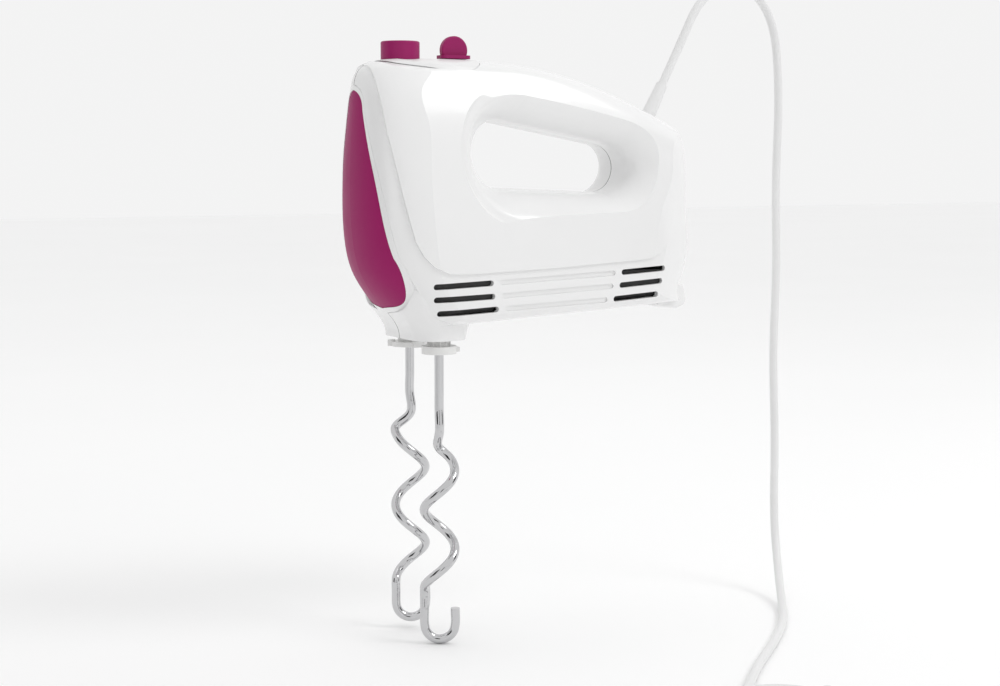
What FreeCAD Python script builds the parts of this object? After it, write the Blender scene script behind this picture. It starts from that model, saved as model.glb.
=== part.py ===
import FreeCAD, Part
from FreeCAD import Vector as V
import math, os

os.makedirs("parts", exist_ok=True)

# The frame: origin in the middle of the grip, +X to the tail, +Z up, -Y the left side. All in mm.

# ---- driving dimensions --------------------------------------------------------------------
HALF_WIDTH = 36.4       # half the width of the housing's foot, before the raised panels
WIDEST_Z = -88.5        # height at which the housing is widest
RISE_UP = 115.0         # how far above that the sides would meet
RISE_DOWN = 77.0        # and how far below
TAIL_TAPER = 0.30       # part of the width lost between nose and tail
CROWN = 9.0             # height of the rounding along the top
DECK_Z = 20.2           # top of the housing at the front
BASE_Z = -111.85        # underside of the housing
WALL = 2.2              # housing wall
VENT_RISE = 0.8         # the vent panel stands this far out of the base
SIDE_RISE = 2.0         # and the upper side panel this far
TOOL_X = -70.0          # the two tool axes
TOOL_PITCH = 36.0       # distance between them
WIRE_R = 2.4            # tool wire
CORD_R = 2.4            # mains cord
MOTOR_Z = -80.0         # motor axis
GEAR_TEETH = 24
WORM_R = 4.0            # worm pitch radius
ROTOR_R = 12.0
SHAFT_R = 2.5
SPINDLE_R = 6.4
BUTTON_X, BUTTON_R = -82.8, 10.0
SLIDER_X, SLIDER_R = -52.4, 7.4
PRESS = 6.5             # travel of the eject button
SLIDE = 9.0             # travel of the speed slider

# ---- clearances ----------------------------------------------------------------------------
FIT = 0.06              # running fit, radial
GAP = 0.3               # parts that pass each other
SNUG = 0.15             # panels in their recesses

# ---- derived -------------------------------------------------------------------------------
TOOL_Y = TOOL_PITCH / 2
GEAR_R = TOOL_Y - WORM_R
NECK_Z = BASE_Z - 11.4
GEAR_H = 7.0
SPINDLE_TOP = MOTOR_Z + GEAR_H / 2 + 6.0
HOOK_TOP = SPINDLE_TOP + PRESS + 1.0
FORK_Z = HOOK_TOP + 0.02


def save(shape, name):
    if not shape.isValid():
        shape.fix(1e-4, 1e-4, 1e-2)
    print(name, shape.isValid(), len(shape.Solids), round(shape.Volume))
    shape.exportStep("parts/%s.step" % name)


def line(a, b):
    return Part.LineSegment(a, b).toShape()


def spline(points, start=None, end=None):
    c = Part.BSplineCurve()
    if start is None:
        c.interpolate(points)
    else:
        c.interpolate(Points=points, InitialTangent=start, FinalTangent=end)
    return c.toShape()


def poly_face(points):
    return Part.Face(Part.makePolygon(points + points[:1]))


def prism(points, vector):
    return poly_face(points).extrude(vector)


def cyl(r, h, x, y, z, axis=V(0, 0, 1)):
    return Part.makeCylinder(r, h, V(x, y, z), axis)


def ring(r, bore, h, x, y, z, axis=V(0, 0, 1)):
    return cyl(r, h, x, y, z, axis).cut(cyl(bore, h + 2, *(V(x, y, z) - axis), axis))


def box(x0, x1, y0, y1, z0, z1):
    return Part.makeBox(x1 - x0, y1 - y0, z1 - z0, V(x0, y0, z0))


def round_box(x0, x1, y0, y1, z0, z1, r, axis="Z"):
    b = box(x0, x1, y0, y1, z0, z1)
    pick = {"X": lambda e: abs(e.tangentAt(e.FirstParameter).x) > 0.9,
            "Y": lambda e: abs(e.tangentAt(e.FirstParameter).y) > 0.9,
            "Z": lambda e: abs(e.tangentAt(e.FirstParameter).z) > 0.9}[axis]
    return b.makeFillet(r, [e for e in b.Edges if pick(e)])


def mirror(shape):
    return shape.mirror(V(0, 0, 0), V(0, 1, 0))


# ---- the housing's outer form --------------------------------------------------------------
def half_width(z):
    r = RISE_UP if z > WIDEST_Z else RISE_DOWN
    t = min(abs(z - WIDEST_Z) / r, 0.985)
    return HALF_WIDTH * math.sqrt(1 - t * t)


def taper(x):
    return 1 - TAIL_TAPER * (max(x + 90.0, 0) / 175.0) ** 1.5


def top_z(x):
    return DECK_Z - 0.0111 * max(x + 35.0, 0) ** 1.7


def section(x, grow, drop):
    zt, zb = top_z(x) - drop, BASE_Z + 0.045 * x + drop
    w = lambda z: taper(x) * half_width(z) + grow
    zs, ze = zt - CROWN, zb + 6.0
    a, b = w(zs), w(ze)
    pts = [V(x, -k * a, zt - d * CROWN) for k, d in ((0, 0), (0.3, 0.03), (0.58, 0.14), (0.82, 0.40), (1, 1))]
    pts += [V(x, -w(zs + (ze - zs) * k), zs + (ze - zs) * k) for k in (0.22, 0.5, 0.75, 1.0)]
    foot = Part.Arc(V(x, -b, ze), V(x, -b + 2.0, ze - 4.2), V(x, -b + 6.0, zb)).toShape()
    return Part.Wire([spline(pts), foot, line(V(x, -b + 6.0, zb), V(x, 0, zb)), line(V(x, 0, zb), V(x, 0, zt))])


def half_form(grow=0.0, drop=0.0):
    return Part.makeLoft([section(x, grow, drop) for x in (-125, -85, -45, -5, 35, 70, 105)], True, False)


# Height and reach of the nose and of the tail along the middle plane.
NOSE = [(35, -62), (25, -78), (20.2, -91.5), (18.2, -99.0), (14.7, -104.8), (5, -108.0), (-10, -109.2),
        (-30, -110.4), (-55, -110.6), (-75, -109.0), (-88, -105.6), (-98, -100.0), (-106, -94.0), (-113, -88.0),
        (-121, -83.5), (-135, -79)]
TAIL = [(25, 60), (5, 66), (-6, 72.5), (-14, 78.5), (-22, 82.6), (-33, 84.8), (-58, 85.6), (-88, 85.2),
        (-110, 83.5), (-135, 82)]
NOSE_STEPS = [(0, 0), (1.5, 0.36), (4.6, 0.60), (10, 0.80), (18, 0.92), (30, 1.0), (45, 1.05), (62, 1.10)]
TAIL_STEPS = [(0, 0), (1.2, 10), (4, 17), (9, 22), (17, 25.8), (30, 29.5), (50, 34)]


def end_slice(x, z, steps, grow, sign):
    """Half of a level slice through the nose or the tail, grown or shrunk along its own normal."""
    pts = []
    for i, (dx, y) in enumerate(steps):
        ahead, back = steps[min(i + 1, len(steps) - 1)], steps[max(i - 1, 0)]
        n = V(0, 1, 0) if i else V(-1, 0, 0)
        if i:
            n = V(-(ahead[1] - back[1]), ahead[0] - back[0], 0).normalize()
        pts.append(V(x + sign * (dx + grow * n.x), -(y + grow * n.y), z))
    p, far = pts[-1], -sign * -150
    a, q, r = V(p.x + sign * 5, -60, z), V(far, -60, z), V(far, 0, z)
    return Part.Wire([spline(pts), line(p, a), line(a, q), line(q, r), line(r, pts[0])])


def nose_block(inset=0.0):
    out = []
    for z, x in NOSE:
        w = max(half_width(z), 15.0)
        out.append(end_slice(x, z, [(dx, y * w) for dx, y in NOSE_STEPS], -inset, 1))
    return Part.makeLoft(out, True, False)


def tail_block(inset=0.0):
    return Part.makeLoft([end_slice(x, z, TAIL_STEPS, -inset, -1) for z, x in TAIL], True, False)


def flare(extra=0.0):
    """The finger opening: a rounded outline that widens like a trumpet towards the side."""
    rings = []
    for depth, off in ((-2, 0), (8.5, 0), (15, 0.9), (19.5, 3.0), (23.7, 6.8), (27, 11.2), (29.3, 15.6), (34.5, 26)):
        x1, z1, r1 = -33.5 + 0.5 * off, -28.3, 17.3 + off + extra
        x2, z2, r2 = 30.7 + 0.45 * off, -35.7, 13.0 + off + extra
        d, base = math.hypot(x2 - x1, z2 - z1), math.atan2(z2 - z1, x2 - x1)
        s = math.acos((r1 - r2) / d)

        def pt(x, z, r, a):
            zz = z + r * math.sin(a)
            return V(x + r * math.cos(a), -depth * (1 - 0.2 * (zz + 30) / 31.5), zz)

        a, b = pt(x1, z1, r1, base + s), pt(x2, z2, r2, base + s)
        c, e = pt(x2, z2, r2, base - s), pt(x1, z1, r1, base - s)
        rings.append(Part.Wire([line(a, b), Part.Arc(b, pt(x2, z2, r2, base), c).toShape(), line(c, e),
                                Part.Arc(e, pt(x1, z1, r1, base + math.pi), a).toShape()]))
    return Part.makeLoft(rings, True, False)


SIDE_PANEL = [(-104, 24), (-101, -18), (-99, -32), (-96.5, -47), (-94, -59), (-90.7, -71.8), (-86.9, -78.9),
              (-81.4, -84.5), (-73.1, -88.2), (-62, -88.6), (-10, -87), (44.8, -84.4), (52, -83.5), (58, -81.2),
              (63.5, -75.3), (66.6, -64.6), (73, -35), (100, -20), (100, 60), (-104, 60)]
VENT_PANEL = [(-130, 60), (-130, -60), (-94, -88), (-84.7, -101.8), (-81.4, -106.9), (-76.5, -111.6),
              (-68.1, -114.5), (-56.8, -114.5), (-10.4, -112.3), (25.8, -110.7), (47.5, -109.4),
              (55.7, -107), (61.3, -101.9), (66, -90), (130, -70), (130, 60)]




def outside(points):
    """Everything left of the middle plane that lies outside an outline in the side view."""
    return box(-160, 160, -60, 1, -150, 80).cut(prism([V(x, -70, z) for x, z in points], V(0, 80, 0)))


def level(grow, drop=0.0):
    """The whole left half at one level of the surface."""
    return half_form(grow, drop).common(nose_block(-grow)).common(tail_block(-min(grow, 0)))


NECK_LEVELS = [(-96.0, -97.0, -47.0, 33.0, 16.0), (-108.0, -92.0, -50.0, 31.0, 15.0),
               (-114.5, -87.0, -52.5, 29.3, 14.0), (NECK_Z, -84.2, -54.5, 27.8, 13.0)]


def rounded_rect(x0, x1, y, r, z):
    b = round_box(x0, x1, -y, y, z, z + 1, r)
    return [f for f in b.Faces if abs(f.CenterOfMass.z - z) < 1e-6][0].OuterWire


def neck(inset, bottom=0.0):
    """The boss under the nose that the two tools plug into."""
    wires = [rounded_rect(x0 + inset, x1 - inset, y - inset, r - inset, z) for z, x0, x1, y, r in NECK_LEVELS[:-1]]
    z, x0, x1, y, r = NECK_LEVELS[-1]
    wires.append(rounded_rect(x0 + inset, x1 - inset, y - inset, r - inset, z + bottom))
    return Part.makeLoft(wires, True, False)


LEFT = box(-160, 160, -60, 0, -160, 80)
base_form, vent_form, skin = level(0), level(VENT_RISE), level(SIDE_RISE)
skin = skin.cut(outside(SIDE_PANEL).cut(vent_form)).cut(outside(VENT_PANEL).cut(base_form))
skin = skin.fuse(neck(0).common(LEFT))
skin = skin.cut(flare())
print("skin", skin.isValid(), len(skin.Solids), skin.Volume)
hollow = level(-WALL, WALL).fuse(neck(WALL, WALL).common(LEFT)).cut(flare(WALL))
print("hollow", hollow.isValid(), len(hollow.Solids), hollow.Volume)


# ---- what the housing halves carry ---------------------------------------------------------
SCREWS = [(-60.0, -42.0), (-98.0, -32.0), (64.0, -34.0), (70.0, -98.0), (-40.5, -103.5)]
BOSS_R, HEAD_R, HEAD_Y = 4.2, 3.2, 9.0
STATOR_R, STATOR_X0, STATOR_X1 = 21.5, -22.0, 4.0
BRACKET_X = 27.0
SPRING_Z0 = -30.0
BUTTON_TOP, BUTTON_LOW = 29.3, 10.0
DECK = (-104.5, -43.0, 17.5)          # the control deck: from, to, half width
SLOT_H = 3.0
FRONT_SLOTS = [(-81.1, -94.7, -47.3, -93.6), (-80.3, -101.4, -46.2, -100.5), (-77.6, -108.6, -43.9, -107.2)]
REAR_SLOTS = [(32.1, -90.9, 61.2, -89.5), (30.9, -97.8, 59.7, -96.3), (27.3, -105.0, 56.9, -103.4)]
RELIEF = V(67.5, 0, -6.3)
RELIEF_AXIS = V(8.5, 0, 16.0).normalize()


def slot(x0, z0, x1, z1, h, y0, y1):
    """A long hole with round ends, run along Y."""
    a = math.atan2(z1 - z0, x1 - x0)
    n, t = V(-math.sin(a), 0, math.cos(a)) * (h / 2), V(math.cos(a), 0, math.sin(a)) * (h / 2)
    p, q = V(x0, y0, z0) + t, V(x1, y0, z1) - t
    w = Part.Wire([line(p + n, q + n), Part.Arc(q + n, q + t, q - n).toShape(), line(q - n, p - n),
                   Part.Arc(p - n, p - t, p + n).toShape()])
    return Part.Face(w).extrude(V(0, y1 - y0, 0))


def teardrop(extra, x0, x1):
    """The front panel's outline, drawn in the front view and run along X."""
    half = [(4.1, 0), (1.5, 6.0), (-6.0, 9.6), (-22.0, 14.6), (-42.3, 21.0), (-62.0, 25.2), (-80.0, 28.3),
            (-93.0, 29.0), (-101.5, 24.5), (-105.8, 12.0), (-107.3, 0)]
    pts = []
    for z, y in half:
        d = V(0, -y, z + 62)
        d = d * ((d.Length + extra) / d.Length)
        pts.append(V(x0, d.y, d.z - 62))
    edges = [spline(pts[:3]), spline(pts[2:7]), spline(pts[6:]), line(pts[-1], pts[0])]
    return Part.Face(Part.Wire(edges)).extrude(V(x1 - x0, 0, 0))


def whole(shape):
    return shape.fuse(mirror(shape)).removeSplitter()


ribs = [cyl(BOSS_R, 60, x, 1, z, V(0, -1, 0)) for x, z in SCREWS]
ribs.append(box(-66, -44, -32, -6.5, 1.0, 3.7))
ribs.append(box(BUTTON_X - 9, BUTTON_X + 7.5, -45, -9, SPRING_Z0 - 5.0, SPRING_Z0 - 2.4))
for x in (STATOR_X0 + 3, STATOR_X1 - 6):
    ribs.append(box(x, x + 3, -40, 1, -114, -62).cut(cyl(STATOR_R, 3, x, 0, MOTOR_Z, V(1, 0, 0))))
hollow = hollow.cut(Part.makeCompound(ribs))
half = skin.cut(hollow)

cuts = [slot(*s, SLOT_H, -60, -20) for s in FRONT_SLOTS + REAR_SLOTS]
strip_form = half_form(VENT_RISE - 0.9)
for a, b in zip(FRONT_SLOTS, REAR_SLOTS):
    k = (b[1] - a[3]) / (b[0] - a[2])
    strip = slot(a[2] + 4, a[3] + 4 * k, b[0] - 4, b[1] - 4 * k, SLOT_H - 0.2, -60, -20)
    cuts.append(strip.cut(strip_form))
nose_skin = nose_block(1.4)
cuts.append(teardrop(2.6 + SNUG, -130, -90).cut(nose_skin))
cuts += [cyl(SPINDLE_R + 1.0, 20, TOOL_X, -TOOL_Y, NECK_Z - 5)]
deck_form = half_form(SIDE_RISE - 1.3, 1.3)
deck_box = round_box(DECK[0], DECK[1], -DECK[2], DECK[2], 2, 40, 8)
cuts.append(round_box(DECK[0] - SNUG, DECK[1] + SNUG, -DECK[2] - SNUG, DECK[2] + SNUG, 2, 40, 8).cut(deck_form))
cuts.append(cyl(BUTTON_R + GAP, 40, BUTTON_X, 0, 0))
cuts.append(round_box(SLIDER_X - SLIDE - 5.5, SLIDER_X + 5.5, -2.6, 2.6, 5, 40, 2))
relief_cut = cyl(4.3, 30, *(RELIEF - RELIEF_AXIS * 8), RELIEF_AXIS)
cuts.append(relief_cut.fuse(cyl(6.6, 2.2, *(RELIEF - RELIEF_AXIS * 6.1), RELIEF_AXIS)))
half = half.cut(Part.makeCompound(cuts).cut(box(-160, 160, 0, 60, -160, 80)))
print("half", half.isValid(), len(half.Solids), len(half.Faces))
half = max(half.Solids, key=lambda s: s.Volume)
pilot = [cyl(1.3, 13.5, x, 0, z, V(0, -1, 0)) for x, z in SCREWS]
save(half.cut(pilot), "left_shell")
through = [cyl(1.6, 30, x, -1, z, V(0, 1, 0)).fuse(cyl(HEAD_R + 0.2, 60, x, HEAD_Y, z, V(0, 1, 0)))
           for x, z in SCREWS]
save(mirror(half).cut(through), "right_shell")

screws = []
for x, z in SCREWS:
    head = cyl(HEAD_R - 0.2, 2.2, x, HEAD_Y, z, V(0, 1, 0))
    cross = [box(x - a, x + a, HEAD_Y + 1.2, HEAD_Y + 3, z - b, z + b) for a, b in ((0.4, 2), (2, 0.4))]
    screws.append(cyl(1.3, HEAD_Y + 12, x, -12, z, V(0, 1, 0)).fuse(head.cut(cross)))
save(Part.makeCompound(screws), "housing_screws")

# ---- front panel, bezel, deck --------------------------------------------------------------
panel = teardrop(0, -130, -90)
save(whole(panel.common(nose_block(-0.6)).cut(nose_block(0.9))), "front_panel")
rim = teardrop(2.6, -130, -90).cut(teardrop(SNUG, -131, -89))
save(whole(rim.common(nose_block(-0.9)).cut(nose_block(0.9))), "panel_bezel")
plate = half_form(SIDE_RISE, -0.5).cut(half_form(SIDE_RISE - 0.9, 0.9)).common(nose_block(-0.3))
deck = deck_box.common(plate.fuse(mirror(plate))).common(box(-160, 160, -60, 60, 12, 40))
deck = deck.cut([cyl(BUTTON_R + GAP, 40, BUTTON_X, 0, 0),
                 round_box(SLIDER_X - SLIDE - 5.5, SLIDER_X + 5.5, -2.6, 2.6, 5, 40, 2)])
save(deck, "control_deck")

# ---- the controls --------------------------------------------------------------------------
STEM_R = 3.4
knob = cyl(BUTTON_R, BUTTON_TOP - BUTTON_LOW, BUTTON_X, 0, BUTTON_LOW)
knob = knob.makeFillet(0.9, [e for e in knob.Edges if e.BoundBox.ZMin > BUTTON_TOP - 0.1])
save(knob.fuse(cyl(STEM_R, 6, BUTTON_X, 0, BUTTON_LOW - 6)).removeSplitter(), "eject_button")
fork = box(BUTTON_X - 4.5, BUTTON_X + 4.5, -4.5, 4.5, FORK_Z, FORK_Z + 3.5)
for s in (-1, 1):
    tip = cyl(5.5, 3.5, TOOL_X, s * TOOL_Y, FORK_Z)
    pts = [V(BUTTON_X - 3, s * 1.0, FORK_Z), V(BUTTON_X + 4, 0, FORK_Z), V(TOOL_X + 3.5, s * (TOOL_Y - 4), FORK_Z),
           V(TOOL_X - 4, s * (TOOL_Y + 2.5), FORK_Z)]
    fork = fork.fuse([tip, prism(pts, V(0, 0, 3.5))])
fork = fork.fuse(cyl(STEM_R, BUTTON_LOW - 6 - FORK_Z, BUTTON_X, 0, FORK_Z)).removeSplitter()
save(fork, "eject_fork")
SPRING_Z1 = BUTTON_LOW - 0.2
TURNS_UP, STEPS = 8, 10
rise = (SPRING_Z1 - SPRING_Z0 - 1.1) / (TURNS_UP * STEPS)
points = [V(BUTTON_X + 4.9 * math.cos(2 * math.pi * k / STEPS), 4.9 * math.sin(2 * math.pi * k / STEPS),
            SPRING_Z0 + 0.55 + k * rise) for k in range(TURNS_UP * STEPS + 1)]
coil = Part.Wire([spline(points)])
first = coil.Edges[0]
start = Part.makeCircle(0.45, points[0], first.tangentAt(first.FirstParameter))
save(coil.makePipeShell([Part.Wire(start)], True, True), "eject_spring")
seat = round_box(BUTTON_X - 9, BUTTON_X + 7.5, -12, 12, SPRING_Z0 - 2.4, SPRING_Z0, 3)
save(seat.cut(cyl(STEM_R + 0.1, 10, BUTTON_X, 0, SPRING_Z0 - 5)), "spring_seat")

tab = cyl(SLIDER_R, 4.0, SLIDER_X, -2.0, DECK_Z + 5.2, V(0, 1, 0))
tab = tab.makeFillet(0.9, tab.Edges)
base = round_box(SLIDER_X - 8.3, SLIDER_X + 8.3, -5.2, 5.2, DECK_Z + 0.85, DECK_Z + 2.6, 3)
tab = tab.cut(box(-90, 0, -10, 10, 0, DECK_Z + 0.9)).fuse([base, box(SLIDER_X - 4, SLIDER_X + 4, -2.2, 2.2, 11.4,
                                                                     DECK_Z + 1)])
save(tab.removeSplitter(), "speed_slider")
board = box(-66, -44, -7.5, 7.5, 3.75, 5.4).fuse(box(-64, -46, -5, 5, 5.4, 11.2))
save(board.removeSplitter(), "speed_switch")


# ---- tool socket, gears and worm -----------------------------------------------------------
def both(make):
    return Part.makeCompound([make(-1), make(1)])


SOCKET_Z = BASE_Z + 2.2
socket = round_box(-81.5, -57.0, -25.0, 25.0, NECK_Z + WALL + 0.05, SOCKET_Z, 10)
bores = [cyl(SPINDLE_R + FIT, 30, TOOL_X, s * TOOL_Y, NECK_Z - 5) for s in (-1, 1)]
save(socket.fuse(round_box(-86, -53, -28, 28, SOCKET_Z - 2, SOCKET_Z, 12)).cut(bores).removeSplitter(), "tool_socket")
PLATE_Z = MOTOR_Z - 18.5
frame = round_box(-83, -42, -28, 28, PLATE_Z, PLATE_Z + 3.5, 8)
frame = frame.fuse(round_box(-93, -60, -13, 13, PLATE_Z, PLATE_Z + 3.5, 5))
for x in (-82, -56):
    for y in (-5, 5):
        frame = frame.fuse(cyl(2.6, PLATE_Z - SOCKET_Z, x, y, SOCKET_Z))
for x in (-93, -45.5):
    frame = frame.fuse(round_box(x, x + 3.5, -8, 8, PLATE_Z + 1, MOTOR_Z + 8, 3, "X"))
    frame = frame.cut(cyl(5.5, 6, x - 1, 0, MOTOR_Z, V(1, 0, 0)))
frame = frame.cut([cyl(SPINDLE_R + GAP, 30, TOOL_X, s * TOOL_Y, PLATE_Z - 5) for s in (-1, 1)])
save(frame.removeSplitter(), "gear_frame")
ends_x = [-93.0, -45.5]
save(Part.makeCompound([ring(5.5, SHAFT_R + FIT, 3.5, x, 0, MOTOR_Z, V(1, 0, 0)) for x in ends_x]), "front_bearings")
save(ring(5.5, SHAFT_R + FIT, 4.0, BRACKET_X, 0, MOTOR_Z, V(1, 0, 0)), "rear_bearing")
MODULE = 2 * GEAR_R / GEAR_TEETH


def gear(side, turn):
    x, y = TOOL_X, side * TOOL_Y
    tip, root, step = GEAR_R + 0.8, GEAR_R - 1.3, 2 * math.pi / GEAR_TEETH
    pts = []
    for k in range(GEAR_TEETH):
        a = math.radians(turn) + k * step
        for da, r in ((-0.32, root), (-0.11, tip), (0.11, tip), (0.32, root)):
            pts.append(V(x + r * math.cos(a + da * step), y + r * math.sin(a + da * step), MOTOR_Z - GEAR_H / 2))
    wheel = prism(pts, V(0, 0, GEAR_H))
    wheel = wheel.fuse(cyl(SPINDLE_R, SPINDLE_TOP - NECK_Z - 0.4, x, y, NECK_Z + 0.4))
    for z in (MOTOR_Z - GEAR_H / 2 - 1, MOTOR_Z + GEAR_H / 2 - 1.5):
        wheel = wheel.cut(ring(11.5, SPINDLE_R + 1.5, 2.5, x, y, z))
    return wheel.cut(cyl(WIRE_R + FIT, 120, x, y, NECK_Z - 5)).removeSplitter()


save(gear(-1, 90 + 180.0 / GEAR_TEETH), "left_gear")
save(gear(1, -90), "right_gear")
PITCH = math.pi * MODULE
TURNS = 8
shaft = cyl(SHAFT_R, ends_x[0] * -1 + BRACKET_X + 4.5, ends_x[0] - 0.5, 0, MOTOR_Z, V(1, 0, 0))
x0 = TOOL_X - (TURNS / 2 + 0.75) * PITCH
shaft = shaft.fuse(cyl(WORM_R - 1.2, (TURNS + 0.9) * PITCH, x0 - 0.45 * PITCH, 0, MOTOR_Z, V(1, 0, 0)))
helix = Part.makeHelix(PITCH, TURNS * PITCH, WORM_R - 1.35)
r0, r1 = WORM_R - 1.35, WORM_R + 0.8
tooth = Part.makePolygon([V(r0, 0, -0.8), V(r1, 0, -0.3), V(r1, 0, 0.3), V(r0, 0, 0.8), V(r0, 0, -0.8)])
thread = Part.Wire(helix.Edges).makePipeShell([tooth], True, True)
thread.rotate(V(0, 0, 0), V(0, 1, 0), 90)
thread.translate(V(x0, 0, MOTOR_Z))
save(shaft.fuse(thread), "worm_shaft")

# ---- motor ---------------------------------------------------------------------------------
MOTOR_LEN = STATOR_X1 - STATOR_X0
XA = V(1, 0, 0)


def sector(r0, r1, a0, a1, x0, x1):
    p = lambda r, a: V(x0, r * math.cos(math.radians(a)), MOTOR_Z + r * math.sin(math.radians(a)))
    mid = (a0 + a1) / 2
    w = Part.Wire([line(p(r0, a0), p(r1, a0)), Part.Arc(p(r1, a0), p(r1, mid), p(r1, a1)).toShape(),
                   line(p(r1, a1), p(r0, a1)), Part.Arc(p(r0, a1), p(r0, mid), p(r0, a0)).toShape()])
    return Part.Face(w).extrude(V(x1 - x0, 0, 0))


SLOT_R0, SLOT_R1 = ROTOR_R + 1.5, 18.5
stator = ring(STATOR_R - 0.1, ROTOR_R + 0.6, MOTOR_LEN, STATOR_X0, 0, MOTOR_Z, XA)
coils = []
for a in (90, 270):
    outer = sector(SLOT_R0, SLOT_R1, a - 68, a + 68, STATOR_X0 - 5, STATOR_X1 + 5)
    inner = sector(SLOT_R0 - 1, SLOT_R1 + 1, a - 50, a + 50, STATOR_X0 - 0.2, STATOR_X1 + 0.2)
    coils.append(outer.cut(inner))
    for s in (-1, 1):
        b = sorted((a + s * 68.5, a + s * 49.5))
        stator = stator.cut(sector(SLOT_R0 - 0.2, SLOT_R1 + 0.2, b[0], b[1], STATOR_X0 - 1, STATOR_X1 + 1))
save(stator, "stator")
save(Part.makeCompound(coils), "field_coils")


def around(n, make):
    """n copies of a shape, turned about the motor axis."""
    out = [make() for k in range(n)]
    for k, one in enumerate(out):
        one.rotate(V(0, 0, MOTOR_Z), XA, 360.0 * k / n)
    return out


core = ring(ROTOR_R, SHAFT_R, MOTOR_LEN, STATOR_X0, 0, MOTOR_Z, XA)
notch = lambda: box(STATOR_X0 - 1, STATOR_X1 + 1, -0.8, 0.8, MOTOR_Z + ROTOR_R - 2.6, MOTOR_Z + ROTOR_R + 1)
save(core.cut(around(12, notch)), "rotor_core")
heads = [ring(10.5, SHAFT_R, 5.0, x, 0, MOTOR_Z, XA) for x in (STATOR_X0 - 5.0, STATOR_X1)]
heads = [h.makeFillet(2.0, [e for e in h.Edges if e.BoundBox.ZLength > 20 and e.BoundBox.XLength < 0.1]) for h in heads]
save(Part.makeCompound(heads), "rotor_windings")
COMM_X, COMM_R = STATOR_X1 + 6.5, 7.5
comm = ring(COMM_R, SHAFT_R, 11, COMM_X, 0, MOTOR_Z, XA)
save(comm.cut(around(12, lambda: box(COMM_X - 1, COMM_X + 12, -0.25, 0.25, MOTOR_Z + 6.5, MOTOR_Z + 9))), "commutator")
FAN_X = -39.5
fan = ring(18.5, SHAFT_R, 1.5, FAN_X, 0, MOTOR_Z, XA).fuse(ring(5, SHAFT_R, 7, FAN_X, 0, MOTOR_Z, XA))
blades = around(9, lambda: box(FAN_X + 1, FAN_X + 7, -0.6, 0.6, MOTOR_Z + 4.5, MOTOR_Z + 18))
save(fan.fuse(blades).removeSplitter(), "fan")
bracket = round_box(BRACKET_X, BRACKET_X + 4, -27, 27, MOTOR_Z - 16, MOTOR_Z + 13, 5, "X")
bracket = bracket.cut(cyl(5.5, 8, BRACKET_X - 1, 0, MOTOR_Z, XA))
for s in (-1, 1):
    y = sorted((s * 8.6, s * 20))
    bracket = bracket.fuse(box(COMM_X + 2, BRACKET_X + 1, y[0], y[1], MOTOR_Z - 4.5, MOTOR_Z + 4.5))
    bracket = bracket.cut(box(COMM_X + 3, COMM_X + 9, y[0] - 1, y[1] + 1, MOTOR_Z - 3, MOTOR_Z + 3))
save(bracket.removeSplitter(), "brush_bracket")
brush = lambda s: box(COMM_X + 3, COMM_X + 9, *sorted((s * (COMM_R + 0.1), s * 18)), MOTOR_Z - 3, MOTOR_Z + 3)
save(both(brush), "brushes")

# ---- dust screens behind the vents ---------------------------------------------------------
sheet = level(-WALL - 0.15, WALL + 0.5).cut(level(-WALL - 0.95, WALL + 1.3))
screens = [sheet.common(box(x0, x1, -60, y, z0, -90.2)) for x0, x1, y, z0 in
           ((-84, -45.2, -28.4, -110.6), (23, 65, -21, -108))]
screens = [s for one in screens for s in one.Solids]
save(Part.makeCompound(screens + [mirror(s) for s in screens]), "vent_screens")

# ---- heel ----------------------------------------------------------------------------------
heel = prism([V(66, -11, -112.0), V(80, -11, -113.5), V(85.5, -11, -111.5), V(86.5, -11, -108.0),
              V(84.5, -11, -100.5), V(78, -11, -99.0)], V(0, 22, 0))
heel = heel.makeFillet(1.2, heel.Edges)
skin_both = Part.makeCompound([skin, mirror(skin)])
heel = max(heel.cut(skin_both).Solids, key=lambda s: s.Volume)
save(heel, "heel")
save(both(lambda s: cyl(1.7, 1.6, 85.8, s * 6.5, -107.6, XA).cut(heel)), "heel_pads")

# ---- tools ---------------------------------------------------------------------------------
HELIX_R, HELIX_PITCH = 8.0, 41.4
TOOL_END = -283.3
VIEW = math.radians(-27.65)           # the plane that the end bends lie in


def hook(side, turn, first, straight_to, low):
    """Straight shaft, one and a half turns of open helix, then a blunt upturned end.
    first is the height of the helix's first bend away from the end's short leg."""
    x, y = TOOL_X, side * TOOL_Y
    bottom = TOOL_END + low + WIRE_R + HELIX_R
    last = first - 1.5 * HELIX_PITCH
    flat = V(math.cos(VIEW), math.sin(VIEW), 0)
    across = V(-math.sin(VIEW), math.cos(VIEW), 0)
    pts = [V(x, y, straight_to + 22), V(x, y, straight_to + 10), V(x, y, straight_to)]
    ramp = 2 * WIRE_R + 3.0
    n = int((straight_to - ramp - last) / (HELIX_PITCH / 12))
    for k in range(n, -1, -1):
        z = last + k * HELIX_PITCH / 12
        a = turn * 2 * math.pi * (first - z) / HELIX_PITCH
        pts.append(V(x, y, z) + flat * (HELIX_R * math.cos(a)) + across * (HELIX_R * math.sin(a)))
    pts.append(V(x, y, (last + bottom) / 2 - 1.0) - flat * HELIX_R)
    for k in range(0, 7):
        a = math.pi + k * math.pi / 6
        pts.append(V(x, y, bottom) + flat * (HELIX_R * math.cos(a)) + V(0, 0, HELIX_R * math.sin(a)))
    pts.append(V(x, y, bottom + 8.6) + flat * HELIX_R)
    path = Part.Wire([line(V(x, y, HOOK_TOP), pts[0]), spline(pts, V(0, 0, -1), V(0, 0, 1))])
    wire = path.makePipeShell([Part.Wire(Part.makeCircle(WIRE_R, V(x, y, HOOK_TOP), V(0, 0, 1)))], True, False)
    return wire


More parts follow.
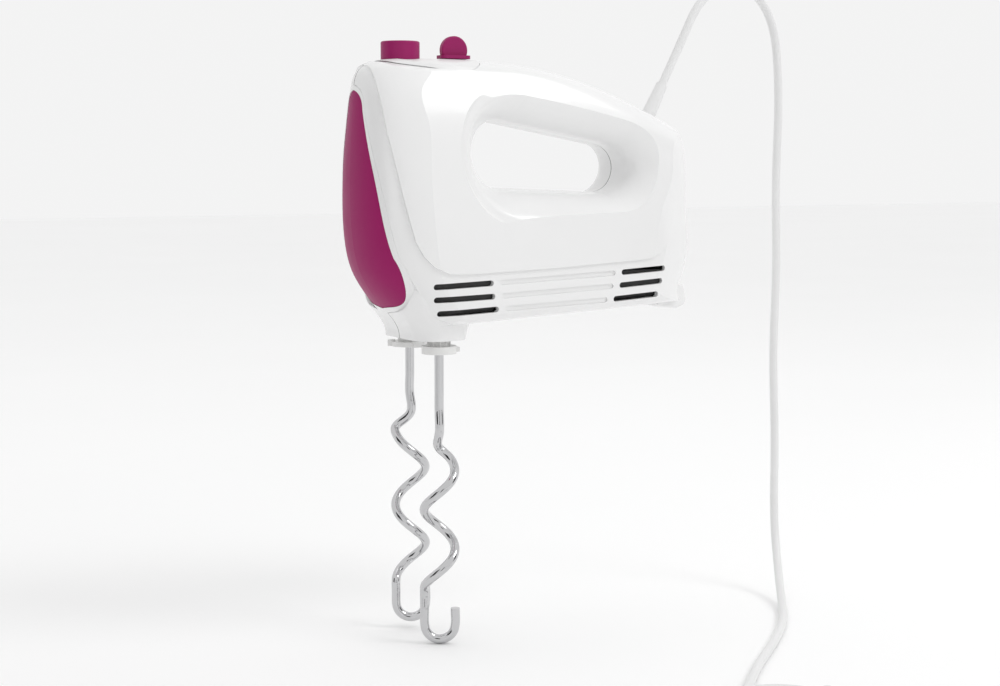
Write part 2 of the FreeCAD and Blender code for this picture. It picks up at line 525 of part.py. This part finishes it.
save(hook(-1, -1, -191.6, -172.0, 0.0), "left_hook")
save(hook(1, 1, -194.6, -166.0, 3.5), "right_hook")
near = cyl(9.0, 4.0, TOOL_X, -TOOL_Y, NECK_Z - 7.0).fuse(cyl(5.4, 4.0, TOOL_X, -TOOL_Y, NECK_Z - 4.0))
for k in range(10):
    lug = cyl(0.8, 3.0, TOOL_X + 5.4 * math.cos(k * math.pi / 5), -TOOL_Y + 5.4 * math.sin(k * math.pi / 5), NECK_Z - 3.2)
    near = near.fuse(lug)
near = near.fuse(box(TOOL_X + 8, TOOL_X + 11.0, -TOOL_Y - 2, -TOOL_Y + 2, NECK_Z - 6.5, NECK_Z - 4.0))
save(near.cut(cyl(WIRE_R, 20, TOOL_X, -TOOL_Y, NECK_Z - 10)).removeSplitter(), "left_collar")
far = cyl(9.8, 2.6, TOOL_X, TOOL_Y, NECK_Z - 6.4).fuse(cyl(6.2, 5.8, TOOL_X, TOOL_Y, NECK_Z - 6.4))
for a in (30, 150, 270):
    lug = box(TOOL_X + 8, TOOL_X + 11.5, TOOL_Y - 2.5, TOOL_Y + 2.5, NECK_Z - 6.4, NECK_Z - 3.2)
    lug.rotate(V(TOOL_X, TOOL_Y, 0), V(0, 0, 1), a)
    far = far.fuse(lug)
save(far.cut(cyl(WIRE_R, 20, TOOL_X, TOOL_Y, NECK_Z - 10)).removeSplitter(), "right_collar")

# ---- cord ----------------------------------------------------------------------------------
relief = Part.makeCone(4.1, 3.2, 22.5, RELIEF - RELIEF_AXIS * 4, RELIEF_AXIS)
relief = relief.fuse(cyl(6.3, 1.8, *(RELIEF - RELIEF_AXIS * 5.8), RELIEF_AXIS))
save(relief.cut(cyl(CORD_R, 60, *(RELIEF - RELIEF_AXIS * 20), RELIEF_AXIS)).removeSplitter(), "strain_relief")
FLOOR = TOOL_END
exit_pt = RELIEF - RELIEF_AXIS * 6
ON_FLOOR = FLOOR + CORD_R
COIL_X, COIL_Y, COIL_R = 10.0, -212.0, 24.0
LEAD = V(-0.68, -0.7332, 0).normalize()          # the way the cord runs into its coil and out to the plug
COIL_IN = V(COIL_X + COIL_R * LEAD.y, COIL_Y - COIL_R * LEAD.x, ON_FLOOR)
ROUTE = [exit_pt, exit_pt + RELIEF_AXIS * 46, V(102, 1, 60), V(130, 4, 70), V(156, 7, 52), V(162, 8, 8),
         V(160, 8, -45), V(162, 8, -95), V(160, 8, -145), V(162, 7, -195), V(158, 2, -240), V(150, -14, -268),
         V(134, -40, ON_FLOOR), V(112, -72, ON_FLOOR), V(82, -104, ON_FLOOR), V(48, -136, ON_FLOOR),
         V(19, -168.5, ON_FLOOR), COIL_IN - LEAD * 21]


def tube(points, r):
    """Straight runs joined by tangent arcs."""
    edges, at = [], points[0]
    for a, b, c in zip(points, points[1:], points[2:]):
        u, v = (b - a).normalize(), (c - b).normalize()
        turn = math.acos(max(-1, min(1, u.dot(v))))
        cut = 0.45 * min((b - a).Length, (c - b).Length)
        p, q = b - u * cut, b + v * cut
        radius = cut / math.tan(turn / 2)
        m = b + (v - u).normalize() * (radius / math.cos(turn / 2) - radius)
        edges += [line(at, p), Part.Arc(p, m, q).toShape()]
        print("bend", round(radius, 1))
        at = q
    edges.append(line(at, points[-1]))
    path = Part.Wire(edges)
    start = (points[1] - points[0]).normalize()
    solid = path.makePipeShell([Part.Wire(Part.makeCircle(r, points[0], start))], True, False)
    print("length", path.Length, "volume ratio", solid.Volume / (path.Length * math.pi * r * r))
    return solid


save(tube(ROUTE, CORD_R), "cord")
COIL_T = 5.6
TIE_R = COIL_T + 1.3
save(Part.makeTorus(COIL_R, COIL_T, V(COIL_X, COIL_Y, FLOOR + TIE_R)), "cord_coil")
save(ring(TIE_R, COIL_T + 0.35, 7.0, COIL_X + COIL_R, COIL_Y - 3.5, FLOOR + TIE_R, V(0, 1, 0)), "cord_tie")

# ---- plug ----------------------------------------------------------------------------------
PIN_R, PIN_LEN, PIN_PITCH = 2.0, 19.0, 18.6
PLUG_LEN, PLUG_H = 34.0, 13.4
plug = round_box(0, PLUG_LEN, -17.5, 17.5, 0, PLUG_H, 6, "X")
plug = plug.makeFillet(2.0, [e for e in plug.Edges if e.BoundBox.XLength < 0.1 and e.BoundBox.XMin > 1])
pins = both(lambda s: cyl(PIN_R, PIN_LEN, PLUG_LEN, s * PIN_PITCH / 2, PLUG_H / 2, XA))
tail = Part.makeCone(3.4, 4.8, 16, V(-14, 0, PLUG_H / 2), XA)
lead_hole = cyl(CORD_R, 24, -20, 0, PLUG_H / 2, XA)
plug = plug.fuse(tail).cut(lead_hole).removeSplitter()
PLUG_AT = COIL_IN + LEAD * 46
for shape, name in ((plug, "plug_body"), (pins, "plug_pins")):
    shape.rotate(V(0, 0, 0), V(0, 0, 1), math.degrees(math.atan2(LEAD.y, LEAD.x)))
    shape.translate(V(PLUG_AT.x, PLUG_AT.y, FLOOR))
    save(shape, name)
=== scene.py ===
import math

import bmesh
import bpy
from bpy.props import FloatProperty, FloatVectorProperty, PointerProperty
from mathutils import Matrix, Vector


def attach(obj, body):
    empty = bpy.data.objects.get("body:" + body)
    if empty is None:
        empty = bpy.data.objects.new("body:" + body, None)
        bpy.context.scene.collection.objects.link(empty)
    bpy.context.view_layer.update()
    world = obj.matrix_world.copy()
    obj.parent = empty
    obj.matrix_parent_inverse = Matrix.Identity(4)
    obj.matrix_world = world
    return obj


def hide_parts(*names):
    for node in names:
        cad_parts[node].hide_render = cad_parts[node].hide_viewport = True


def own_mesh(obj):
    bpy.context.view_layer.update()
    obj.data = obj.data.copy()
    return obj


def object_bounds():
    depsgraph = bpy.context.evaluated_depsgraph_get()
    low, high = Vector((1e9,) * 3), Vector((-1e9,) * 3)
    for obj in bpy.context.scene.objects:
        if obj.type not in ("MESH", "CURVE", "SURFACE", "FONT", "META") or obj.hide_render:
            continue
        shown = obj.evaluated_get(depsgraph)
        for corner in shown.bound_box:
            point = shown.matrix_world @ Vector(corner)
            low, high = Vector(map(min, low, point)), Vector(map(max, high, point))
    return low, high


bl_info = {
    "name": "Hand mixer",
    "version": (1, 0, 0),
    "blender": (4, 5, 0),
    "location": "3D View > Sidebar > Mixer",
    "description": "Finishes the hand mixer's frame: plastics, chrome tools, drive, cord and stage",
    "category": "Object",
}

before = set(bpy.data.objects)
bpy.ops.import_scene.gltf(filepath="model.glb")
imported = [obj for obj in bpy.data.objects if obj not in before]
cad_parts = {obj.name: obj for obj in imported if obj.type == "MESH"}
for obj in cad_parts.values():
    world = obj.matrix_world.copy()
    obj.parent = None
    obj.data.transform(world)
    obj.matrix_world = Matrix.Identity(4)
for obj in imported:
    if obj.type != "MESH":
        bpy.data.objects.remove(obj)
FRAME_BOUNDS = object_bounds()
MM = 0.001
FLOOR_Z = FRAME_BOUNDS[0].z

# The cord's route from its sleeve to the plug, in mm. The coil's turns follow it.
ROUTE = [
    (64.68, 0, -11.6), (86.3, 0, 29.1), (102, 1, 60), (130, 4, 70), (156, 7, 52), (162, 8, 8), (160, 8, -45),
    (162, 8, -95), (160, 8, -145), (162, 7, -195), (158, 2, -240), (150, -14, -268), (134, -40, -280.9),
    (112, -72, -280.9), (82, -104, -280.9), (48, -136, -280.9), (19, -168.5, -280.9),
]
COIL_CENTRE = Vector((10, -212, 0))
LEAD = Vector((-0.68, -0.7332, 0)).normalized()     # the way the cord runs into its coil and out to the plug
COIL_RISE = 6.9         # middle of the coil's bundle above the floor, mm
COIL_TURNS, POINTS_PER_TURN = 3, 14
BUNDLE = 2.8            # each turn's middle to the middle of the bundle, mm
FIRST_LAY, LAY_PER_TURN = 300, 120      # where in the bundle the first turn starts, and its step, degrees
# The last part of the third turn swings out clear of the first: turns done, mm outward, mm up.
LAST_LOOP = ((2.75, 0, -2.8), (2.85, 4.5, -2.2), (2.93, 6.4, 0.2), (3.0, 6.4, 1.0))
# The lead from the coil into the plug: mm along, mm outward, mm above the floor.
PLUG_LEAD = ((8, 5.2, 7.6), (16, 2.4, 7.0), (24, 0.2, 6.7), (34, 0, 6.7), (42, 0, 6.7))

CAMERA_PLACE = Vector((-472.8, -854.6, -26.2)) * MM
CAMERA_TURN, CAMERA_DOWN = math.radians(-27.65), math.radians(6.07)
SENSOR_WIDTH = 36.0
FLOOR_HALF = 6.0        # metres
FLOOR_DROP = 0.0002     # the floor lies this far under the hooks, metres
WORLD_LIGHT = 0.9
# Soft lamps: place, size and power. They point at a spot below the grip.
LAMPS = (("key", (0.8, -0.9, 1.15), 0.6, 6.0), ("top", (0.1, 0.3, 1.5), 1.0, 1.5))
LAMP_TARGET = Vector((0, 0, -0.1))
# Dark cards beside the mixer give the chrome something dark to mirror: place, height and width in metres.
CARDS = (("card_left", (-1.0, -0.15, 0.15), 0.72, 0.6), ("card_right", (0.95, -0.75, 0.15), 0.72, 0.45),
         ("card_front", (-0.75, -1.5, 0.15), 0.72, 0.3))


class MixerSizes(bpy.types.PropertyGroup):
    cord_diameter: FloatProperty(
        name="Cord diameter", description="Outside of the mains cord",
        default=4.8 * MM, min=3 * MM, max=8 * MM, unit="LENGTH")
    coil_radius: FloatProperty(
        name="Coil radius", description="Middle of the tied coil to the middle of its bundle",
        default=24 * MM, min=18 * MM, max=40 * MM, unit="LENGTH")
    lens: FloatProperty(
        name="Lens", description="Focal length of the camera, in millimetres",
        default=65.2, min=20, max=200)


class MixerColours(bpy.types.PropertyGroup):
    housing: FloatVectorProperty(
        name="Housing", description="White plastic of the housing",
        subtype="COLOR", size=3, default=(0.86, 0.86, 0.86), min=0, max=1)
    trim: FloatVectorProperty(
        name="Trim", description="Front panel, eject button and speed slider",
        subtype="COLOR", size=3, default=(0.32, 0.014, 0.12), min=0, max=1)
    floor: FloatVectorProperty(
        name="Floor", description="Floor under the mixer",
        subtype="COLOR", size=3, default=(0.98, 0.98, 0.98), min=0, max=1)


# ---- materials -----------------------------------------------------------------------------
def new_material(name):
    m = bpy.data.materials.new(name)
    m.use_nodes = True
    nodes = m.node_tree.nodes
    nodes.clear()
    out = nodes.new("ShaderNodeOutputMaterial")
    shader = nodes.new("ShaderNodeBsdfPrincipled")
    m.node_tree.links.new(shader.outputs["BSDF"], out.inputs["Surface"])
    return m, m.node_tree, shader


def noise(tree, scale, detail=3.0, roughness=0.5, stretch=(1, 1, 1)):
    where = tree.nodes.new("ShaderNodeTexCoord")
    mapping = tree.nodes.new("ShaderNodeMapping")
    mapping.inputs["Scale"].default_value = stretch
    n = tree.nodes.new("ShaderNodeTexNoise")
    n.inputs["Scale"].default_value = scale
    n.inputs["Detail"].default_value = detail
    n.inputs["Roughness"].default_value = roughness
    tree.links.new(where.outputs["Object"], mapping.inputs["Vector"])
    tree.links.new(mapping.outputs["Vector"], n.inputs["Vector"])
    return n.outputs["Fac"]


def ramp(tree, value, low, high, start=0.3, end=0.7):
    """Turns a grey value into a run of colours between two ends."""
    r = tree.nodes.new("ShaderNodeValToRGB")
    r.color_ramp.elements[0].position = start
    r.color_ramp.elements[1].position = end
    r.color_ramp.elements[0].color = (*low, 1)
    r.color_ramp.elements[1].color = (*high, 1)
    tree.links.new(value, r.inputs["Fac"])
    return r.outputs["Color"]


def spread(tree, value, low, high):
    m = tree.nodes.new("ShaderNodeMapRange")
    m.inputs["To Min"].default_value = low
    m.inputs["To Max"].default_value = high
    tree.links.new(value, m.inputs["Value"])
    return m.outputs["Result"]


def bump(tree, shader, value, distance, strength=1.0):
    b = tree.nodes.new("ShaderNodeBump")
    b.inputs["Distance"].default_value = distance
    b.inputs["Strength"].default_value = strength
    tree.links.new(value, b.inputs["Height"])
    tree.links.new(b.outputs["Normal"], shader.inputs["Normal"])


def shade(colour, factor):
    return tuple(min(1.0, c * factor) for c in colour)


def plastic(name, colour, rough=0.3, coat=0.0, grain=2500.0, grain_depth=0.00001, mottle=0.03, seam=False,
            ior=1.5):
    """Moulded plastic: nearly even colour, a faint moulding grain and uneven gloss."""
    m, tree, shader = new_material(name)
    base = ramp(tree, noise(tree, 18.0), shade(colour, 1 - mottle), shade(colour, 1 + mottle * 0.5))
    if seam:
        base = seam_line(tree, base)
    tree.links.new(base, shader.inputs["Base Color"])
    gloss = spread(tree, noise(tree, 60.0, 4.0), rough * 0.85, rough * 1.2)
    tree.links.new(gloss, shader.inputs["Roughness"])
    shader.inputs["Coat Weight"].default_value = coat
    shader.inputs["Coat Roughness"].default_value = 0.08
    shader.inputs["IOR"].default_value = ior
    bump(tree, shader, noise(tree, grain, 2.0), grain_depth)
    return m


def seam_line(tree, base, half=0.00028):
    """The hair line where the two housing halves meet, in the plane y = 0."""
    where = tree.nodes.new("ShaderNodeTexCoord")
    split = tree.nodes.new("ShaderNodeSeparateXYZ")
    size = tree.nodes.new("ShaderNodeMath")
    size.operation = "ABSOLUTE"
    near = tree.nodes.new("ShaderNodeMath")
    near.operation = "LESS_THAN"
    near.inputs[1].default_value = half
    mix = tree.nodes.new("ShaderNodeMix")
    mix.data_type = "RGBA"
    mix.inputs["B"].default_value = (0.1, 0.1, 0.1, 1)
    tree.links.new(where.outputs["Object"], split.inputs["Vector"])
    tree.links.new(split.outputs["Y"], size.inputs[0])
    tree.links.new(size.outputs[0], near.inputs[0])
    tree.links.new(near.outputs[0], mix.inputs["Factor"])
    tree.links.new(base, mix.inputs["A"])
    return mix.outputs["Result"]


def metal(name, colour, rough=0.1, streak=(1, 1, 1), scale=400.0, depth=0.000004, mottle=0.05):
    """Polished or drawn metal, with fine marks along the way it was worked."""
    m, tree, shader = new_material(name)
    shader.inputs["Metallic"].default_value = 1.0
    base = ramp(tree, noise(tree, 40.0), shade(colour, 1 - mottle), colour)
    tree.links.new(base, shader.inputs["Base Color"])
    marks = noise(tree, scale, 3.0, 0.6, streak)
    tree.links.new(spread(tree, marks, rough * 0.7, rough * 1.5), shader.inputs["Roughness"])
    bump(tree, shader, marks, depth)
    return m


def dress(material, *names):
    for n in names:
        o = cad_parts[n]
        o.data.materials.clear()
        o.data.materials.append(material)


def add_mesh(context, name, bm):
    mesh = bpy.data.meshes.new(name)
    bm.to_mesh(mesh)
    bm.free()
    o = bpy.data.objects.new(name, mesh)
    context.collection.objects.link(o)
    return o


# ---- operators -----------------------------------------------------------------------------
class MIXER_OT_camera(bpy.types.Operator):
    """Set the camera a little above the tools, three quarters from the nose"""
    bl_idname = "mixer.camera"
    bl_label = "Camera"

    def execute(self, context):
        data = bpy.data.cameras.new("camera")
        data.lens = context.scene.mixer_sizes.lens
        data.sensor_width = SENSOR_WIDTH
        data.clip_start, data.clip_end = 0.05, 20.0
        cam = bpy.data.objects.new("camera", data)
        cam.location = CAMERA_PLACE
        turn, down = CAMERA_TURN, CAMERA_DOWN
        back = Vector((math.sin(turn) * math.cos(down), -math.cos(turn) * math.cos(down), math.sin(down)))
        cam.rotation_mode = "QUATERNION"
        cam.rotation_quaternion = back.to_track_quat("Z", "Y")
        context.collection.objects.link(cam)
        context.scene.camera = cam
        return {"FINISHED"}


def in_bundle(t):
    """How far outward and up from the middle of the bundle the cord lies after t turns, in mm."""
    if t <= LAST_LOOP[0][0]:
        lay = math.radians(FIRST_LAY + LAY_PER_TURN * t)
        return BUNDLE * math.cos(lay), BUNDLE * math.sin(lay)
    steps = zip(LAST_LOOP, LAST_LOOP[1:])
    (t0, x0, z0), (t1, x1, z1) = next(step for step in steps if t <= step[1][0] + 1e-6)
    f = (t - t0) / (t1 - t0)
    return x0 + (x1 - x0) * f, z0 + (z1 - z0) * f


class MIXER_OT_cord(bpy.types.Operator):
    """Lay the mains cord from its sleeve over the tail to the floor, and coil the rest"""
    bl_idname = "mixer.cord"
    bl_label = "Cord"

    def execute(self, context):
        sizes = context.scene.mixer_sizes
        radius = sizes.cord_diameter / 2
        points = [Vector(p) * MM for p in ROUTE]
        centre = COIL_CENTRE * MM
        out = Vector((LEAD.y, -LEAD.x, 0))
        start = math.atan2(out.y, out.x)
        for k in range(COIL_TURNS * POINTS_PER_TURN + 1):
            t = k / POINTS_PER_TURN
            a = start + 2 * math.pi * t
            aside, rise = in_bundle(t)
            r = sizes.coil_radius + aside * MM
            points.append(Vector((centre.x + r * math.cos(a), centre.y + r * math.sin(a),
                                  FLOOR_Z + (COIL_RISE + rise) * MM)))
        end = centre + out * sizes.coil_radius
        for along, aside, z in PLUG_LEAD:
            p = end + (LEAD * along + out * aside) * MM
            points.append(Vector((p.x, p.y, FLOOR_Z + z * MM)))
        curve = bpy.data.curves.new("mains_cord", "CURVE")
        curve.dimensions = "3D"
        curve.bevel_depth = radius
        curve.bevel_resolution = 5
        curve.use_fill_caps = True
        spline = curve.splines.new("NURBS")
        spline.points.add(len(points) - 1)
        for p, q in zip(spline.points, points):
            p.co = (*q, 1)
        spline.order_u = 3
        spline.use_endpoint_u = True
        spline.resolution_u = 8
        cord = bpy.data.objects.new("mains_cord", curve)
        context.collection.objects.link(cord)
        curve.materials.append(plastic("cord_sheath", (0.8, 0.8, 0.8), 0.42, 0.0, 1800.0, 0.00002))
        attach(cord, "housing")
        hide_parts("cord", "cord_coil")
        return {"FINISHED"}


class MIXER_OT_housing(bpy.types.Operator):
    """Glossy white plastic on the housing, the bezel, the deck and the tool socket"""
    bl_idname = "mixer.housing"
    bl_label = "Housing"

    def execute(self, context):
        white = tuple(context.scene.mixer_colours.housing)
        dress(plastic("housing_gloss", white, 0.24, 0.2, 900.0, 0.000006, 0.015, seam=True),
              "left_shell", "right_shell")
        dress(plastic("socket_gloss", white, 0.24, 0.3, 900.0, 0.000006, 0.015),
              "tool_socket", "heel", "panel_bezel")
        dress(plastic("deck_satin", shade(white, 0.97), 0.34, 0.1, 2200.0, 0.000015), "control_deck")
        dress(plastic("heel_rubber", (0.72, 0.72, 0.71), 0.6, 0.0, 1600.0, 0.00003, 0.05), "heel_pads")
        return {"FINISHED"}


class MIXER_OT_trim(bpy.types.Operator):
    """Deep magenta plastic on the front panel, the eject button and the speed slider"""
    bl_idname = "mixer.trim"
    bl_label = "Trim"

    def execute(self, context):
        colour = tuple(context.scene.mixer_colours.trim)
        dress(plastic("trim_panel", colour, 0.42, 0.0, 1400.0, 0.000008, 0.03, ior=1.22), "front_panel")
        dress(plastic("trim_controls", colour, 0.4, 0.0, 1800.0, 0.000012, 0.03, ior=1.3),
              "eject_button", "speed_slider")
        return {"FINISHED"}


class MIXER_OT_tools(bpy.types.Operator):
    """Polished chrome on the dough hooks and white plastic on their collars"""
    bl_idname = "mixer.tools"
    bl_label = "Dough hooks"

    def execute(self, context):
        dress(metal("hook_chrome", (0.6, 0.6, 0.61), 0.07, (1, 1, 0.15)), "left_hook", "right_hook")
        dress(plastic("collar_plastic", (0.8, 0.8, 0.79), 0.38, 0.0, 1500.0, 0.00001),
              "left_collar", "right_collar")
        return {"FINISHED"}


class MIXER_OT_drive(bpy.types.Operator):
    """Finish the gears, the worm, the motor and what holds them inside the housing"""
    bl_idname = "mixer.drive"
    bl_label = "Drive"

    def execute(self, context):
        dress(plastic("gear_nylon", (0.72, 0.69, 0.6), 0.4, 0.0, 1200.0, 0.00001),
              "left_gear", "right_gear")
        dress(plastic("inner_frame", (0.12, 0.12, 0.125), 0.5, 0.0, 1500.0, 0.00002, 0.1),
              "gear_frame", "brush_bracket", "fan")
        dress(plastic("inner_black", (0.02, 0.02, 0.02), 0.45, 0.0, 1500.0, 0.00002, 0.1),
              "speed_switch", "brushes", "vent_screens")
        dress(plastic("inner_white", (0.75, 0.75, 0.73), 0.4, 0.0, 1500.0, 0.00001),
              "eject_fork", "spring_seat")
        dress(metal("ground_steel", (0.6, 0.6, 0.62), 0.25, (0.1, 1, 1)), "worm_shaft")
        zinc = metal("zinc_steel", (0.58, 0.58, 0.6), 0.32)
        dress(zinc, "housing_screws", "eject_spring")
        self.pressed_spring(context, zinc)
        dress(metal("lamination", (0.28, 0.28, 0.3), 0.45, (20, 1, 1), 90.0, 0.00005, 0.2),
              "stator", "rotor_core")
        dress(metal("enamelled_copper", (0.62, 0.24, 0.09), 0.3, (1, 12, 12), 120.0, 0.0001, 0.2),
              "field_coils", "rotor_windings")
        dress(metal("bare_copper", (0.75, 0.38, 0.22), 0.25), "commutator")
        dress(metal("bearing_bronze", (0.5, 0.32, 0.15), 0.4), "front_bearings", "rear_bearing")
        return {"FINISHED"}

    def pressed_spring(self, context, steel):
        """The eject spring stands on its seat, as a mesh of its own with its doubled points merged, in steel
        and carried with the housing.
        """
        bm = bmesh.new()
        bm.from_mesh(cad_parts["eject_spring"].data)
        bmesh.ops.remove_doubles(bm, verts=bm.verts, dist=0.001 * MM)
        spring = add_mesh(context, "eject_spring_wire", bm)
        spring.data.materials.append(steel)
        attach(spring, "housing")
        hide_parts("eject_spring")
        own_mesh(spring)


class MIXER_OT_plug(bpy.types.Operator):
    """Finish the cord's sleeve, its tie and the plug"""
    bl_idname = "mixer.plug"
    bl_label = "Plug and sleeve"

    def execute(self, context):
        dress(plastic("sleeve_plastic", (0.8, 0.8, 0.8), 0.4, 0.0, 1500.0, 0.00002),
              "strain_relief", "plug_body", "cord_tie")
        dress(metal("pin_nickel", (0.7, 0.7, 0.68), 0.18), "plug_pins")
        return {"FINISHED"}


class MIXER_OT_stage(bpy.types.Operator):
    """Pale floor and backdrop, and a soft studio light"""
    bl_idname = "mixer.stage"
    bl_label = "Stage"

    def execute(self, context):
        bm = bmesh.new()
        bmesh.ops.create_grid(bm, x_segments=1, y_segments=1, size=FLOOR_HALF)
        bmesh.ops.translate(bm, verts=bm.verts, vec=(0, 0, FLOOR_Z - FLOOR_DROP))
        floor = add_mesh(context, "floor", bm)
        m, tree, shader = new_material("floor_paper")
        colour = tuple(context.scene.mixer_colours.floor)
        paper = ramp(tree, noise(tree, 3.0), shade(colour, 0.99), colour)
        tree.links.new(paper, shader.inputs["Base Color"])
        shader.inputs["Roughness"].default_value = 0.7
        shader.inputs["Specular IOR Level"].default_value = 0.2
        floor.data.materials.append(m)
        world = bpy.data.worlds.new("studio")
        world.use_nodes = True
        world.node_tree.nodes["Background"].inputs["Color"].default_value = (1, 1, 1, 1)
        world.node_tree.nodes["Background"].inputs["Strength"].default_value = WORLD_LIGHT
        context.scene.world = world
        context.scene.view_settings.view_transform = "Standard"
        for name, at, tall, wide in CARDS:
            bm = bmesh.new()
            bmesh.ops.create_grid(bm, x_segments=1, y_segments=1, size=0.5)
            bmesh.ops.scale(bm, verts=bm.verts, vec=(wide, tall, 1))
            facing = Vector((-at[0], -at[1], 0)).to_track_quat("Z", "Y").to_matrix()
            bmesh.ops.rotate(bm, verts=bm.verts, matrix=facing)
            bmesh.ops.translate(bm, verts=bm.verts, vec=at)
            card = add_mesh(context, name, bm)
            m, tree, shader = new_material(name + "_card")
            felt = ramp(tree, noise(tree, 3.0), (0.018,) * 3, (0.022,) * 3)
            tree.links.new(felt, shader.inputs["Base Color"])
            shader.inputs["Roughness"].default_value = 0.9
            card.data.materials.append(m)
            card.visible_camera = False
        for name, place, size, power in LAMPS:
            data = bpy.data.lights.new(name, "AREA")
            data.energy, data.size = power, size
            lamp = bpy.data.objects.new(name, data)
            lamp.location = place
            lamp.rotation_mode = "QUATERNION"
            lamp.rotation_quaternion = (Vector(place) - LAMP_TARGET).to_track_quat("Z", "Y")
            context.collection.objects.link(lamp)
        return {"FINISHED"}


OPERATORS = (MIXER_OT_camera, MIXER_OT_cord, MIXER_OT_housing, MIXER_OT_trim, MIXER_OT_tools, MIXER_OT_drive,
             MIXER_OT_plug, MIXER_OT_stage)


class MIXER_PT_panel(bpy.types.Panel):
    """Sizes, colours and the steps that finish the mixer"""
    bl_idname = "MIXER_PT_panel"
    bl_label = "Hand mixer"
    bl_space_type = "VIEW_3D"
    bl_region_type = "UI"
    bl_category = "Mixer"

    def draw(self, context):
        for group in (context.scene.mixer_sizes, context.scene.mixer_colours):
            for key in group.bl_rna.properties.keys():
                if key not in ("rna_type", "name"):
                    self.layout.prop(group, key)
        for op in OPERATORS:
            self.layout.operator(op.bl_idname)


CLASSES = (MixerSizes, MixerColours, *OPERATORS, MIXER_PT_panel)


def register():
    for c in CLASSES:
        bpy.utils.register_class(c)
    bpy.types.Scene.mixer_sizes = PointerProperty(type=MixerSizes)
    bpy.types.Scene.mixer_colours = PointerProperty(type=MixerColours)


def unregister():
    del bpy.types.Scene.mixer_colours
    del bpy.types.Scene.mixer_sizes
    for c in reversed(CLASSES):
        bpy.utils.unregister_class(c)


def main():
    register()
    for op in OPERATORS:
        group, name = op.bl_idname.split(".")
        getattr(getattr(bpy.ops, group), name)()


if __name__ == "__main__":
    main()
